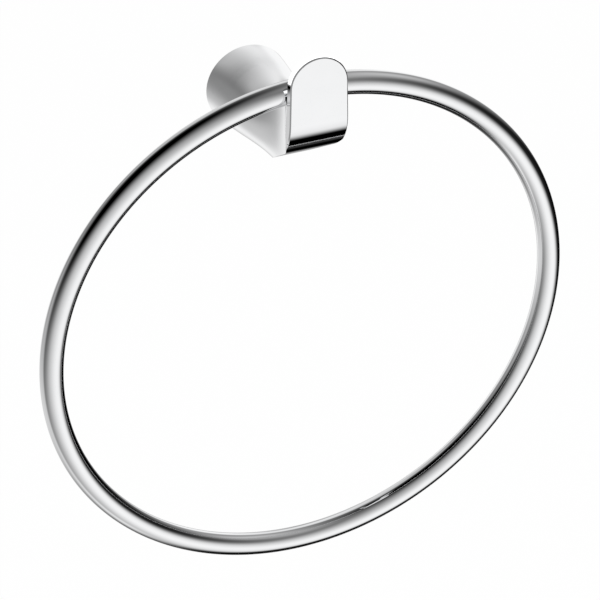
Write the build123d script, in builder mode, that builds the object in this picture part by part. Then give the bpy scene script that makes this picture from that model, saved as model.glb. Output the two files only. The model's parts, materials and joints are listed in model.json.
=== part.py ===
from build123d import *
import math
import os

# All sizes are in millimetres. The origin is the centre of the post's foot on the wall,
# +Z points up, the wall lies on the +Y side and the front of the part faces -Y.

# Ring: round bar bent to a full circle
ring_outer_diameter = 200.3
ring_bar_diameter = 8.3
ring_clearance = 0.3

# Where the top of the ring hangs, measured from the wall and from the foot's centre
ring_projection = 57.6
ring_rise = 27.4

# Post: round foot, then egg-shaped sections of the neck, evenly spaced, and a flare that ends inside the tab
foot_diameter = 31.3
section_pitch = 16.0
shank_level = 1.2
shank_half_width = 13.8
shank_top = 15.8
shank_bottom = -13.6
neck_level = 3.5
neck_half_width = 11.6
neck_top = 16.8
neck_bottom = -11.2
waist_level = 8.0
waist_half_width = 9.5
waist_top = 24.5
waist_bottom = -13.0
overrun = 1.0
flare_level = 13.0
flare_half_width = 11.8
flare_top = 48.0
flare_bottom = -26.0

# Head: flat front tab, its lower end rolled back under the head, and the throat for the ring
tab_thickness = 2.85
tab_top_above_ring = 14.6
tab_half_width_top = 10.3
tab_half_width_bottom = 10.9
tab_edge_chamfer = 0.4
roll_radius = 18.0
roll_start_below_ring = 8.7
roll_sweep_deg = 57.0
slant_length = 18.0
heel_radius = 40.0
heel_sweep_deg = 21.0

# Wall bracket inside the foot: a turned disc with a locking groove and two countersunk screw holes
recess_diameter = 24.2
recess_depth = 10.0
bracket_clearance = 0.2
bracket_thickness = 7.0
bracket_chamfer = 0.5
groove_depth = 1.4
screw_hole_spacing = 12.0
screw_hole_diameter = 4.4
screw_head_diameter = 8.4
countersink_deg = 90.0

# Grub screw: from below through the foot, its cone in the groove of the bracket
grub_diameter = 4.0
grub_clearance = 0.05
grub_from_wall = 4.0
grub_sunk = 0.7
grub_tip_diameter = 0.8
grub_hex = 2.0
grub_hex_depth = 1.6

# Worked-out sizes of the ring and of the throat it hangs in
bar_radius = ring_bar_diameter / 2
ring_radius = ring_outer_diameter / 2 - bar_radius
ring_centre_z = ring_rise - ring_radius
bar_sag = ring_radius - math.sqrt(ring_radius**2 - tab_half_width_bottom**2)
throat_radius = bar_radius + bar_sag + ring_clearance
throat_back_y = throat_radius - ring_projection

# Worked-out places on the tab
tab_back_y = -(ring_projection + throat_radius)
front_y = tab_back_y - tab_thickness
tab_top_z = ring_rise + tab_top_above_ring
flare_reach = overrun - tab_back_y

# Underside seen from the side: the roll is an arc from the flat front to a straight slant, and the heel is
# a wide arc from the slant to the flatter underside of the neck, where the line runs on below the foot
foot_radius = foot_diameter / 2
roll_centre_y = front_y + roll_radius
roll_centre_z = ring_rise - roll_start_below_ring
sweep = math.radians(roll_sweep_deg)
roll_mid = (roll_centre_y - roll_radius * math.cos(sweep / 2), roll_centre_z - roll_radius * math.sin(sweep / 2))
roll_end = (roll_centre_y - roll_radius * math.cos(sweep), roll_centre_z - roll_radius * math.sin(sweep))
slant_end = (roll_end[0] + slant_length * math.sin(sweep), roll_end[1] - slant_length * math.cos(sweep))
heel_centre_y = slant_end[0] + heel_radius * math.cos(sweep)
heel_centre_z = slant_end[1] + heel_radius * math.sin(sweep)
heel_mid_angle = sweep + math.radians(heel_sweep_deg) / 2
heel_end_angle = sweep + math.radians(heel_sweep_deg)
heel_mid = (
    heel_centre_y - heel_radius * math.cos(heel_mid_angle),
    heel_centre_z - heel_radius * math.sin(heel_mid_angle),
)
heel_end = (
    heel_centre_y - heel_radius * math.cos(heel_end_angle),
    heel_centre_z - heel_radius * math.sin(heel_end_angle),
)

# Places well outside the post, for the cuts that shape it
behind_y = foot_radius
above_z = tab_top_z + foot_radius
below_z = heel_end[1] - (behind_y - heel_end[0]) / math.tan(heel_end_angle)
cut_width = 4 * foot_diameter

# Worked-out sizes of the bracket and the grub screw
recess_radius = recess_diameter / 2
bracket_radius = recess_radius - bracket_clearance
groove_floor = bracket_radius - groove_depth
countersink_depth = (screw_head_diameter - screw_hole_diameter) / 2 / math.tan(math.radians(countersink_deg / 2))
grub_radius = grub_diameter / 2
grub_tip_radius = grub_tip_diameter / 2
grub_tip_z = -(groove_floor + grub_tip_radius + grub_clearance)
grub_shoulder_z = grub_tip_z - (grub_radius - grub_tip_radius)
grub_end_z = grub_sunk - foot_radius


def neck_section(reach, level, half_width, top, bottom):
    """Egg-shaped section of the post, standing parallel to the wall and widest at the given level."""
    with BuildSketch(Plane.XZ.offset(reach)) as section:
        with BuildLine():
            EllipticalCenterArc((0, level), half_width, top - level, start_angle=0, arc_size=180)
            EllipticalCenterArc((0, level), half_width, level - bottom, start_angle=180, arc_size=180)
        make_face()
    return section.sketch


def tab_outline():
    """Tab seen from the front: round top and slightly tapered sides that run on far below."""
    shoulder_z = tab_top_z - tab_half_width_top
    taper = (tab_half_width_bottom - tab_half_width_top) / (shoulder_z - roll_end[1])
    below_half_width = tab_half_width_top + taper * (shoulder_z - below_z)
    with BuildLine() as outline:
        ThreePointArc((tab_half_width_top, shoulder_z), (0, tab_top_z), (-tab_half_width_top, shoulder_z))
        Polyline(
            (-tab_half_width_top, shoulder_z),
            (-below_half_width, below_z),
            (below_half_width, below_z),
            (tab_half_width_top, shoulder_z),
        )
    return outline.line


def underside_outline():
    """Post seen from the side, without the throat: heel, slant, roll and flat front."""
    with BuildLine() as outline:
        Line((behind_y, below_z), heel_end)
        ThreePointArc(heel_end, heel_mid, slant_end)
        Line(slant_end, roll_end)
        ThreePointArc(roll_end, roll_mid, (front_y, roll_centre_z))
        Polyline((front_y, roll_centre_z), (front_y, above_z), (behind_y, above_z), (behind_y, below_z))
    return outline.line


# Space that the head may fill in front of the throat's back wall, with the edges of the front broken
with BuildPart() as head_space:
    with BuildSketch(Plane.XZ.offset(-throat_back_y)):
        make_face(tab_outline().edges())
    extrude(amount=cut_width)
    with BuildSketch(Plane.YZ.offset(-cut_width / 2)):
        make_face(underside_outline().edges())
    extrude(amount=cut_width, mode=Mode.INTERSECT)
    outer_edges = head_space.edges().filter_by(Axis.X, reverse=True).filter_by(Axis.Y, reverse=True)
    front_edges = outer_edges.filter_by(lambda edge: edge.center().Y < throat_back_y - tab_edge_chamfer)
    chamfer(front_edges, tab_edge_chamfer)

# What is cut away around the head
with BuildPart() as head_surround:
    with BuildSketch(Plane.XZ.offset(-throat_back_y)):
        Rectangle(cut_width, 2 * cut_width)
    extrude(amount=cut_width)
    add(head_space.part, mode=Mode.SUBTRACT)

sections = [
    neck_section(0, 0, foot_radius, foot_radius, -foot_radius),
    neck_section(section_pitch, shank_level, shank_half_width, shank_top, shank_bottom),
    neck_section(2 * section_pitch, neck_level, neck_half_width, neck_top, neck_bottom),
    neck_section(3 * section_pitch, waist_level, waist_half_width, waist_top, waist_bottom),
    neck_section(flare_reach, flare_level, flare_half_width, flare_top, flare_bottom),
]

# Post: neck lofted from the round foot to a flare wider than the tab, the tab in front of it, then the
# underside, the head's outline and the throat cut into it
with BuildPart() as post:
    loft(sections)
    with BuildSketch(Plane.XZ.offset(-tab_back_y)):
        make_face(tab_outline().edges())
    extrude(amount=tab_thickness + overrun)
    with BuildSketch(Plane.YZ.offset(-cut_width / 2)):
        make_face(underside_outline().edges())
    extrude(amount=cut_width, mode=Mode.INTERSECT)
    add(head_surround.part, mode=Mode.SUBTRACT)
    with BuildSketch(Plane.YZ.offset(-cut_width / 2)):
        with BuildLine():
            ThreePointArc(
                (tab_back_y, ring_rise),
                (-ring_projection, ring_rise - throat_radius),
                (throat_back_y, ring_rise),
            )
            Polyline(
                (throat_back_y, ring_rise),
                (throat_back_y, above_z),
                (tab_back_y, above_z),
                (tab_back_y, ring_rise),
            )
        make_face()
    extrude(amount=cut_width, mode=Mode.SUBTRACT)
    # Recess for the bracket, and the hole for the grub screw
    with BuildSketch(Plane.XZ):
        Circle(recess_radius)
    extrude(amount=recess_depth, mode=Mode.SUBTRACT)
    with BuildSketch(Plane.XY):
        with Locations((0, -grub_from_wall)):
            Circle(grub_radius + grub_clearance)
    extrude(amount=-foot_diameter, mode=Mode.SUBTRACT)
post.part.label = "post"

with BuildPart() as ring:
    with BuildSketch(Plane.YZ):
        with Locations((-ring_projection, ring_rise)):
            Circle(bar_radius)
    revolve(axis=Axis((0, -ring_projection, ring_centre_z), (0, 1, 0)))
ring.part.label = "ring"

# Half section of the disc, turned about the line through the foot's centre
with BuildPart() as wall_bracket:
    with BuildSketch(Plane.XY):
        with BuildLine():
            Polyline(
                (0, 0),
                (bracket_radius, 0),
                (bracket_radius, groove_depth - grub_from_wall),
                (groove_floor, -grub_from_wall),
                (bracket_radius, -groove_depth - grub_from_wall),
                (bracket_radius, bracket_chamfer - bracket_thickness),
                (bracket_radius - bracket_chamfer, -bracket_thickness),
                (0, -bracket_thickness),
                close=True,
            )
        make_face()
    revolve(axis=Axis.Y)
    with BuildSketch(Plane.XZ):
        with GridLocations(screw_hole_spacing, 0, 2, 1):
            Circle(screw_hole_diameter / 2)
    extrude(amount=bracket_thickness, mode=Mode.SUBTRACT)
    with BuildSketch(Plane.XZ.offset(bracket_thickness)):
        with GridLocations(screw_hole_spacing, 0, 2, 1):
            Circle(screw_head_diameter / 2)
    extrude(amount=-countersink_depth, taper=countersink_deg / 2, mode=Mode.SUBTRACT)
wall_bracket.part.label = "wall_bracket"

# Half section of the screw, turned about its own line
with BuildPart() as grub_screw:
    with BuildSketch(Plane.XZ.offset(grub_from_wall)):
        with BuildLine():
            Polyline(
                (0, grub_tip_z),
                (grub_tip_radius, grub_tip_z),
                (grub_radius, grub_shoulder_z),
                (grub_radius, grub_end_z),
                (0, grub_end_z),
                close=True,
            )
        make_face()
    revolve(axis=Axis((0, -grub_from_wall, 0), (0, 0, 1)))
    with BuildSketch(Plane.XY.offset(grub_end_z)):
        with Locations((0, -grub_from_wall)):
            RegularPolygon(grub_hex / 2, 6, major_radius=False)
    extrude(amount=grub_hex_depth, mode=Mode.SUBTRACT)
grub_screw.part.label = "grub_screw"

os.makedirs("parts", exist_ok=True)
export_step(post.part, "parts/post.step")
export_step(ring.part, "parts/ring.step")
export_step(wall_bracket.part, "parts/wall_bracket.step")
export_step(grub_screw.part, "parts/grub_screw.step")
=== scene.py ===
"""Dresses a wall-mounted towel ring: a chromed hook post with a round bar hanging in its throat."""

import json
import logging
import math
from dataclasses import dataclass
from dataclasses import field
from enum import Enum

import bmesh
import bpy
from mathutils import Matrix
from mathutils import Quaternion
from mathutils import Vector


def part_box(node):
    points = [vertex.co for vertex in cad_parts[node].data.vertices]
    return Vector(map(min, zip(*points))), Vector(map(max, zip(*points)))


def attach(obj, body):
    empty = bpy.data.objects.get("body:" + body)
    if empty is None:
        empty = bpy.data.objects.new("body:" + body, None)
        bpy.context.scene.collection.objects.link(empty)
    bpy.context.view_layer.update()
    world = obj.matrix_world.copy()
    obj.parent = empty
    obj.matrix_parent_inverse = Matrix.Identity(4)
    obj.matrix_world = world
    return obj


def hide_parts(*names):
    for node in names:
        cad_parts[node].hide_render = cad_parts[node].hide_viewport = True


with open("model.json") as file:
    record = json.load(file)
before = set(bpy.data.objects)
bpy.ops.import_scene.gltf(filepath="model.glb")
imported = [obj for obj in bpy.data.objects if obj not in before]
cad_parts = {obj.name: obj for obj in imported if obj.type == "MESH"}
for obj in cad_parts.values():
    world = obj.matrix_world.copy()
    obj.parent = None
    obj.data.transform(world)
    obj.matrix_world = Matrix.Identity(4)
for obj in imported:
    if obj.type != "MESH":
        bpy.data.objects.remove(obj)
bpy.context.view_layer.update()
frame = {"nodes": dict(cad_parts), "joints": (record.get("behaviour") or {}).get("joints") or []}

LOG = logging.getLogger("towel_ring")
MM = 0.001
WHITE = "#FFFFFF"
BLACK = "#000000"


class Body(Enum):
    """Rigid bodies of the part that pieces ride on."""

    BASE = "base"
    RING = "ring"


class Slot(Enum):
    """A material slot name; this script's pieces don't use it."""

    CHROME = "chrome_plate"


def linear(colour: str) -> tuple[float, float, float, float]:
    """Turns an sRGB hex colour to linear light, by the sRGB standard's curve.

    Args:
        colour: Text such as "#F4F5F6".

    Returns:
        Linear red, green, blue and an alpha of 1.
    """
    channels = [int(colour[i : i + 2], 16) / 255 for i in (1, 3, 5)]
    light = [c / 12.92 if c <= 0.04045 else ((c + 0.055) / 1.055) ** 2.4 for c in channels]
    return (light[0], light[1], light[2], 1.0)


def add_node(
    tree: bpy.types.NodeTree,
    kind: str,
    settings: dict[str, object] | None = None,
    inputs: dict[str | int, object] | None = None,
) -> bpy.types.Node:
    """Adds a node with its settings, socket values and links.

    Args:
        tree: The node tree that gets the node.
        kind: Blender's name for the node type.
        settings: Properties of the node itself.
        inputs: Socket name or number, to a value or to the output socket that feeds it.

    Returns:
        The new node.
    """
    node = tree.nodes.new(kind)
    for name, value in (settings or {}).items():
        setattr(node, name, value)
    for name, value in (inputs or {}).items():
        if isinstance(value, bpy.types.NodeSocket):
            tree.links.new(value, node.inputs[name])
        else:
            node.inputs[name].default_value = value
    return node


def new_material(name: str) -> tuple[bpy.types.Material, bpy.types.NodeTree, bpy.types.Node]:
    """Makes an empty node material with its output node.

    Args:
        name: Name of the material.

    Returns:
        The material, its node tree and the output node.
    """
    material = bpy.data.materials.new(name)
    material.use_nodes = True
    tree = material.node_tree
    tree.nodes.clear()
    return material, tree, add_node(tree, "ShaderNodeOutputMaterial")


def surface_noise(
    tree: bpy.types.NodeTree, width_mm: float, detail: float, grain: float
) -> bpy.types.NodeSocket:
    """Adds noise that lies still on the piece.

    Args:
        tree: The node tree of a finish.
        width_mm: Width of the noise's patches.
        detail: How many finer layers it has.
        grain: How strong the finer layers are.

    Returns:
        The output socket, from 0 to 1.
    """
    place = add_node(tree, "ShaderNodeTexCoord")
    noise = add_node(
        tree,
        "ShaderNodeTexNoise",
        {"noise_dimensions": "3D"},
        {
            "Vector": place.outputs["Object"],
            "Scale": 1 / (width_mm * MM),
            "Detail": detail,
            "Roughness": grain,
        },
    )
    return noise.outputs["Fac"]


def mix_colours(
    tree: bpy.types.NodeTree, share: bpy.types.NodeSocket, first: object, second: object
) -> bpy.types.NodeSocket:
    """Adds a mix of two colours.

    Args:
        tree: The node tree.
        share: Share of the second colour.
        first: Linear colour or output socket.
        second: Linear colour or output socket.

    Returns:
        The output socket with the mixed colour.
    """
    mix = add_node(tree, "ShaderNodeMix", {"data_type": "RGBA"}, {"Factor": share, "A": first, "B": second})
    return mix.outputs["Result"]


def mesh_object(name: str, mesh: bmesh.types.BMesh) -> bpy.types.Object:
    """Puts a finished bmesh into the scene as an object and frees it.

    Args:
        name: Name of the object and of its mesh.
        mesh: The bmesh.

    Returns:
        The object.
    """
    data = bpy.data.meshes.new(name)
    mesh.to_mesh(data)
    mesh.free()
    piece = bpy.data.objects.new(name, data)
    bpy.context.scene.collection.objects.link(piece)
    return piece


def dress(piece: bpy.types.Object, material: bpy.types.Material) -> None:
    """Gives a piece one material all over.

    Args:
        piece: The mesh object.
        material: Its finish.
    """
    piece.data.materials.clear()
    piece.data.materials.append(material)


@dataclass(frozen=True)
class ChromePlate:
    """Bright chrome over buffed metal: a clear mirror with faint haze where the buffing wheel passed.

    The haze shows only as a slight softening of the reflections, so its patches are millimetres wide.
    """

    name: str = "bright_chrome_plate"
    tint: str = "#F6F6F7"
    shade: str = "#F1F2F3"
    haze_width_mm: float = 9.0
    haze_detail: float = 3.0
    haze_grain: float = 0.55
    haze_starts: float = 0.3
    haze_full: float = 0.75
    clear_roughness: float = 0.015
    hazy_roughness: float = 0.045

    def build(self) -> bpy.types.Material:
        """Makes the material.

        Returns:
            The finished material.
        """
        material, tree, output = new_material(self.name)
        haze = surface_noise(tree, self.haze_width_mm, self.haze_detail, self.haze_grain)
        roughness = add_node(
            tree,
            "ShaderNodeMapRange",
            {},
            {
                "Value": haze,
                "From Min": self.haze_starts,
                "From Max": self.haze_full,
                "To Min": self.clear_roughness,
                "To Max": self.hazy_roughness,
            },
        )
        shader = add_node(
            tree,
            "ShaderNodeBsdfPrincipled",
            {},
            {
                "Base Color": mix_colours(tree, haze, linear(self.tint), linear(self.shade)),
                "Metallic": 1.0,
                "Roughness": roughness.outputs["Result"],
            },
        )
        tree.links.new(shader.outputs["BSDF"], output.inputs["Surface"])
        return material


@dataclass(frozen=True)
class DullSteel:
    """Turned steel, dull zinc plated or bare: fine tool marks across the surface break up its reflections."""

    name: str
    light: str
    dark: str
    roughness: float
    mark_spacing_mm: float
    mark_depth_mm: float
    mark_detail: float = 4.0
    mark_grain: float = 0.6
    mark_strength: float = 0.5

    def build(self) -> bpy.types.Material:
        """Makes the material.

        Returns:
            The finished material.
        """
        material, tree, output = new_material(self.name)
        marks = surface_noise(tree, self.mark_spacing_mm, self.mark_detail, self.mark_grain)
        relief = add_node(
            tree,
            "ShaderNodeBump",
            {},
            {"Height": marks, "Distance": self.mark_depth_mm * MM, "Strength": self.mark_strength},
        )
        shader = add_node(
            tree,
            "ShaderNodeBsdfPrincipled",
            {},
            {
                "Base Color": mix_colours(tree, marks, linear(self.dark), linear(self.light)),
                "Metallic": 1.0,
                "Roughness": self.roughness,
                "Normal": relief.outputs["Normal"],
            },
        )
        tree.links.new(shader.outputs["BSDF"], output.inputs["Surface"])
        return material


@dataclass
class HookPost:
    """The cast post with the bracket and the set screw inside its foot.

    The post is shown by a copy of its solid with the faces joined, so that reflections run on across
    their seams.
    """

    chrome: bpy.types.Material
    plated_steel: DullSteel = DullSteel("dull_zinc_plate", "#B9BBBD", "#9FA2A5", 0.42, 0.6, 0.02)
    screw_steel: DullSteel = DullSteel("bare_stainless_steel", "#B0AFAC", "#94938F", 0.35, 0.4, 0.015)
    weld_mm: float = 0.002
    crease_deg: float = 20.0

    def joined_post(self) -> bpy.types.Object:
        """Joins the faces of a copy of the post and keeps only its true edges sharp.

        Returns:
            The post, riding on its body in place of its node.
        """
        mesh = bmesh.new()
        mesh.from_mesh(frame["nodes"]["post"].data)
        bmesh.ops.remove_doubles(mesh, verts=mesh.verts, dist=self.weld_mm * MM)
        for face in mesh.faces:
            face.smooth = True
        for edge in mesh.edges:
            edge.smooth = edge.calc_face_angle(math.pi) < math.radians(self.crease_deg)
        post = mesh_object("hook_post", mesh)
        stale_normals = post.data.attributes.get("custom_normal")
        if stale_normals:
            post.data.attributes.remove(stale_normals)
        dress(post, self.chrome)
        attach(post, Body.BASE.value)
        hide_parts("post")
        return post

    def build(self) -> list[bpy.types.Object]:
        """Makes the post and dresses the bracket and the screw.

        Returns:
            The dressed pieces.
        """
        bracket = frame["nodes"]["wall_bracket"]
        screw = frame["nodes"]["grub_screw"]
        dress(bracket, self.plated_steel.build())
        dress(screw, self.screw_steel.build())
        return [self.joined_post(), bracket, screw]


@dataclass
class HangingRing:
    """The round bar bent to a full circle, finely divided so that its long reflections run smoothly."""

    chrome: bpy.types.Material
    steps_round_bar: int = 64
    steps_round_ring: int = 288
    weld_mm: float = 0.001
    bar_diameter: float = field(init=False)
    centre: Vector = field(init=False)
    top: Vector = field(init=False)

    def __post_init__(self) -> None:
        """Takes the sizes from the ring's node and from its only joint, the hinge at its top."""
        low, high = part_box("ring")
        self.top = Vector(frame["joints"][0]["pos_m"])
        self.bar_diameter = high.y - low.y
        self.centre = Vector((0, self.top.y, (low.z + high.z) / 2))
        LOG.info("bar %.2f mm, ring %.2f mm across", self.bar_diameter / MM, (high.z - low.z) / MM)

    def build(self) -> bpy.types.Object:
        """Spins the bar's round section about the ring's centre.

        Returns:
            The ring, riding on its body in place of its node.
        """
        mesh = bmesh.new()
        across = Matrix.Translation(self.top) @ Matrix.Rotation(math.radians(90), 4, "Y")
        section = bmesh.ops.create_circle(
            mesh, segments=self.steps_round_bar, radius=self.bar_diameter / 2, matrix=across
        )
        edges = list({edge for vertex in section["verts"] for edge in vertex.link_edges})
        bmesh.ops.spin(
            mesh,
            geom=section["verts"] + edges,
            cent=self.centre,
            axis=(0, 1, 0),
            angle=math.tau,
            steps=self.steps_round_ring,
            use_merge=True,
        )
        bmesh.ops.remove_doubles(mesh, verts=mesh.verts, dist=self.weld_mm * MM)
        bmesh.ops.recalc_face_normals(mesh, faces=mesh.faces)
        for face in mesh.faces:
            face.smooth = True
        ring = mesh_object("ring_bar", mesh)
        dress(ring, self.chrome)
        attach(ring, Body.RING.value)
        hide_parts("ring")
        return ring


@dataclass(frozen=True)
class Patch:
    """A soft light or dark panel on the inside of the light tent.

    The azimuth runs from the wall side towards the right. The half sizes are shares of the tent's radius.
    The feather is the share of the panel that fades out.
    """

    name: str
    azimuth_deg: float
    elevation_deg: float
    half_width: float
    half_height: float
    roll_deg: float
    tone: str
    feather: float

    def outward(self) -> Vector:
        """Points from the tent's centre to the middle of the panel.

        Returns:
            The direction, of length 1.
        """
        azimuth = math.radians(self.azimuth_deg)
        elevation = math.radians(self.elevation_deg)
        level = math.cos(elevation)
        return Vector((math.sin(azimuth) * level, math.cos(azimuth) * level, math.sin(elevation)))

    def turn(self) -> Quaternion:
        """Turns the panel's own axes to lie along the tent's wall, rolled about the panel's middle.

        Returns:
            The turn.
        """
        return self.outward().to_track_quat("Z", "Y") @ Quaternion((0, 0, 1), -math.radians(self.roll_deg))

    def half_sizes(self) -> Vector:
        """Gives the panel a depth as well, so that the curve of the tent doesn't cut it off.

        Returns:
            Half of the width, the height and the depth, as shares of the tent's radius.
        """
        return Vector((self.half_width, self.half_height, max(self.half_width, self.half_height)))


@dataclass
class LightTent:
    """Grey tent that the chrome mirrors, with the soft boxes and black flags of a product studio.

    The camera doesn't see it, and it throws no shadow. Later panels lie over earlier ones.
    """

    centre: Vector
    radius: float = 1.15
    fineness: int = 5
    cloth_tone: str = "#909090"
    patches: tuple[Patch, ...] = (
        # White middle of the bar and face of the tab
        Patch("soft_box_behind_camera", 155, -30, 2.0, 1.25, 15, WHITE, 1.0),
        # Soft light from the low left
        Patch("soft_box_low_left", -60, -60, 0.5, 1.75, 0, "#F0F0F0", 0.5),
        # Light top of the neck
        Patch("pale_wall", 0, 25, 0.75, 0.5, 0, "#F0F0F0", 0.5),
        # Soft light from the high right
        Patch("soft_box_high_right", 90, 55, 0.75, 0.75, 0, "#E0E0E0", 0.75),
        # Black band on the ring's upper left
        Patch("black_flag_high_left", -75, 45, 1.0, 1.75, -15, BLACK, 0.75),
        # Dark outer edge of the ring's right side
        Patch("grey_flag_right", 90, -15, 0.75, 2.0, -30, "#202020", 0.75),
        # Dark stripe in the roll under the tab
        Patch("dark_floor", 90, -70, 0.6, 0.6, 0, BLACK, 0.5),
        # White upper right of the neck
        Patch("strip_light_right", 35, -5, 0.3, 0.75, 0, WHITE, 0.75),
        # Grey along the bar's left edges
        Patch("grey_card_left", -30, 0, 0.5, 1.0, -45, "#888888", 1.0),
        # Pale edges at a glancing angle, and the dark line along the bar's inner left edge
        Patch("white_card_low", 0, -45, 0.5, 1.0, 45, WHITE, 1.0),
        Patch("black_flag_low_right", 55, -45, 0.6, 1.5, -30, BLACK, 0.75),
        Patch("white_card_behind", 0, -15, 0.5, 0.5, 0, WHITE, 1.0),
    )

    def hang_panel(
        self, tree: bpy.types.NodeTree, place: bpy.types.NodeSocket, below: bpy.types.NodeSocket, patch: Patch
    ) -> bpy.types.NodeSocket:
        """Lays one panel over the cloth and the panels before it.

        Args:
            tree: The cloth's node tree.
            place: Output socket with the place on the tent.
            below: Output socket with the colour so far.
            patch: The panel.

        Returns:
            The output socket with the new colour.
        """
        spot = add_node(
            tree,
            "ShaderNodeMapping",
            {"vector_type": "TEXTURE", "label": patch.name},
            {
                "Vector": place,
                "Location": self.centre + patch.outward() * self.radius,
                "Rotation": patch.turn().to_euler(),
                "Scale": patch.half_sizes() * self.radius,
            },
        )
        fade = add_node(
            tree, "ShaderNodeTexGradient", {"gradient_type": "SPHERICAL"}, {"Vector": spot.outputs["Vector"]}
        )
        share = add_node(
            tree,
            "ShaderNodeMapRange",
            {"interpolation_type": "SMOOTHSTEP"},
            {"Value": fade.outputs["Fac"], "From Min": 0.0, "From Max": patch.feather},
        )
        return mix_colours(tree, share.outputs["Result"], below, linear(patch.tone))

    def cloth(self) -> bpy.types.Material:
        """Makes the tent's glowing cloth with its panels.

        Returns:
            The material.
        """
        material, tree, output = new_material("tent_cloth")
        place = add_node(tree, "ShaderNodeTexCoord").outputs["Object"]
        colour = add_node(tree, "ShaderNodeRGB").outputs["Color"]
        colour.default_value = linear(self.cloth_tone)
        for patch in self.patches:
            colour = self.hang_panel(tree, place, colour, patch)
        glow = add_node(tree, "ShaderNodeEmission", {}, {"Color": colour, "Strength": 1.0})
        tree.links.new(glow.outputs["Emission"], output.inputs["Surface"])
        return material

    def build(self) -> bpy.types.Object:
        """Makes the tent as a round shell that only reflections see.

        Returns:
            The tent.
        """
        mesh = bmesh.new()
        bmesh.ops.create_icosphere(
            mesh, subdivisions=self.fineness, radius=self.radius, matrix=Matrix.Translation(self.centre)
        )
        tent = mesh_object("light_tent", mesh)
        dress(tent, self.cloth())
        tent.visible_camera = False
        tent.visible_diffuse = False
        tent.visible_shadow = False
        return tent


@dataclass
class RimLamp:
    """Small soft lamp over the ring, leaning away from the tab, that the rim of the tab mirrors.

    It shines from its front alone, so the ring and the neck behind it don't mirror it. Unturned, a lamp
    shines straight down, and the facing turns it to the front.
    """

    behind_front_mm: float = 5.5
    below_top_mm: float = 10.0
    facing_deg: float = 270.0
    lean_deg: float = 30.0
    width_mm: float = 46.0
    length_mm: float = 34.0
    watts_per_area: float = 3.4

    def build(self) -> bpy.types.Object:
        """Hangs the lamp, at a strength that goes with its size.

        Returns:
            The lamp.
        """
        low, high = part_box("post")
        lean = math.radians(self.lean_deg)
        foot = Vector((0, low.y + self.behind_front_mm * MM, high.z - self.below_top_mm * MM))
        upward = Vector((0, math.sin(lean), math.cos(lean)))
        data = bpy.data.lights.new("rim_lamp", "AREA")
        data.shape = "RECTANGLE"
        data.size = self.width_mm * MM
        data.size_y = self.length_mm * MM
        data.energy = self.watts_per_area * data.size * data.size_y
        lamp = bpy.data.objects.new("rim_lamp", data)
        lamp.location = foot + upward * data.size_y / 2
        lamp.rotation_euler = (math.radians(self.facing_deg) - lean, 0, 0)
        lamp.visible_camera = False
        bpy.context.scene.collection.objects.link(lamp)
        return lamp


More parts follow.
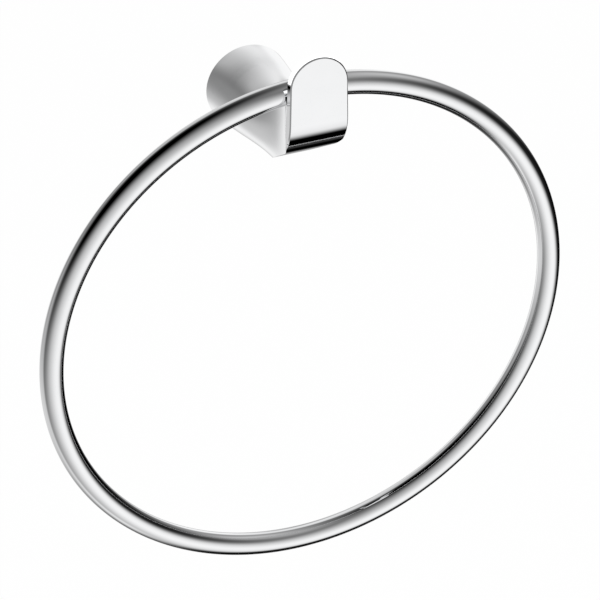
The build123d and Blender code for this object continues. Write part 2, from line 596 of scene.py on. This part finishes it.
@dataclass
class Room:
    """Pale floor, white surroundings and one broad lamp overhead."""

    floor_z: float = -1.3
    floor_half: float = 8.0
    floor_cells: int = 4
    floor_colour: str = "#F7F7F7"
    glow_share: float = 0.97
    world_strength: float = 0.75
    lamp_size: float = 2.5
    lamp_height: float = 2.2
    lamp_watts: float = 30.0

    def seen_directly(self, tree: bpy.types.NodeTree) -> bpy.types.NodeSocket:
        """Adds nodes that give 1 to rays from the camera, from a mirror or through glass.

        Args:
            tree: The node tree of the floor or of the world.

        Returns:
            The output socket.
        """
        path = add_node(tree, "ShaderNodeLightPath")
        mirrored = add_node(
            tree,
            "ShaderNodeMath",
            {"operation": "MAXIMUM"},
            {0: path.outputs["Is Camera Ray"], 1: path.outputs["Is Glossy Ray"]},
        )
        through = add_node(
            tree,
            "ShaderNodeMath",
            {"operation": "MAXIMUM"},
            {0: mirrored.outputs["Value"], 1: path.outputs["Is Transmission Ray"]},
        )
        return through.outputs["Value"]

    def floor_finish(self) -> bpy.types.Material:
        """Makes the floor's pale finish, which glows where it is seen.

        Returns:
            The material.
        """
        material, tree, output = new_material("pale_floor")
        matte = add_node(tree, "ShaderNodeBsdfDiffuse", {}, {"Color": linear(self.floor_colour)})
        glow = add_node(tree, "ShaderNodeEmission", {}, {"Color": linear(WHITE), "Strength": 1.0})
        share = add_node(
            tree,
            "ShaderNodeMath",
            {"operation": "MULTIPLY"},
            {0: self.seen_directly(tree), 1: self.glow_share},
        )
        mix = add_node(
            tree,
            "ShaderNodeMixShader",
            {},
            {0: share.outputs["Value"], 1: matte.outputs["BSDF"], 2: glow.outputs["Emission"]},
        )
        tree.links.new(mix.outputs["Shader"], output.inputs["Surface"])
        return material

    def floor(self) -> bpy.types.Object:
        """Makes the pale floor, at the height of a room's floor under such a ring.

        Returns:
            The floor.
        """
        mesh = bmesh.new()
        bmesh.ops.create_grid(
            mesh,
            x_segments=self.floor_cells,
            y_segments=self.floor_cells,
            size=self.floor_half,
            matrix=Matrix.Translation((0, 0, self.floor_z)),
        )
        floor = mesh_object("floor", mesh)
        dress(floor, self.floor_finish())
        return floor

    def surroundings(self) -> None:
        """Makes the world white where it is seen, and a plain level of light elsewhere."""
        world = bpy.data.worlds.new("studio_white")
        world.use_nodes = True
        tree = world.node_tree
        tree.nodes.clear()
        output = add_node(tree, "ShaderNodeOutputWorld")
        level = add_node(
            tree,
            "ShaderNodeMapRange",
            {},
            {"Value": self.seen_directly(tree), "To Min": self.world_strength, "To Max": 1.0},
        )
        sky = add_node(
            tree,
            "ShaderNodeBackground",
            {},
            {"Color": linear(WHITE), "Strength": level.outputs["Result"]},
        )
        tree.links.new(sky.outputs["Background"], output.inputs["Surface"])
        bpy.context.scene.world = world

    def lamp(self) -> bpy.types.Object:
        """Hangs one broad soft lamp over the part.

        Returns:
            The lamp.
        """
        data = bpy.data.lights.new("ceiling_panel", "AREA")
        data.shape = "SQUARE"
        data.size = self.lamp_size
        data.energy = self.lamp_watts
        lamp = bpy.data.objects.new("ceiling_panel", data)
        lamp.location = (0, 0, self.lamp_height)
        lamp.visible_glossy = False
        bpy.context.scene.collection.objects.link(lamp)
        return lamp

    def build(self) -> None:
        """Makes the floor, the world and the lamp."""
        self.floor()
        self.surroundings()
        self.lamp()


@dataclass
class PhotoCamera:
    """Camera at the photograph's place: left of the ring, above it, looking down and to the right."""

    location: Vector = field(default_factory=lambda: Vector((-0.2617, -0.6686, 0.3847)))
    azimuth_deg: float = -22.895
    elevation_deg: float = 33.653
    lens_mm: float = 135.33
    sensor_mm: float = 36.0

    def build(self) -> bpy.types.Object:
        """Makes the camera and gives it to the scene.

        Returns:
            The camera.
        """
        data = bpy.data.cameras.new("photo_camera")
        data.lens = self.lens_mm
        data.sensor_width = self.sensor_mm
        camera = bpy.data.objects.new("photo_camera", data)
        camera.location = self.location
        camera.rotation_euler = (math.radians(90 - self.elevation_deg), 0, math.radians(self.azimuth_deg))
        bpy.context.scene.collection.objects.link(camera)
        bpy.context.scene.camera = camera
        return camera


def main() -> None:
    """Builds the camera, the part and the studio in order."""
    logging.basicConfig(level=logging.INFO, format="%(name)s: %(message)s")
    bpy.context.scene.view_settings.view_transform = "Standard"
    PhotoCamera().build()
    chrome = ChromePlate().build()
    for piece in HookPost(chrome).build():
        LOG.info("dressed %s", piece.name)
    ring = HangingRing(chrome)
    LOG.info("built %s", ring.build().name)
    for studio_piece in (LightTent(ring.centre), RimLamp()):
        LOG.info("hung %s", studio_piece.build().name)
    Room().build()


if __name__ == "__main__":
    main()
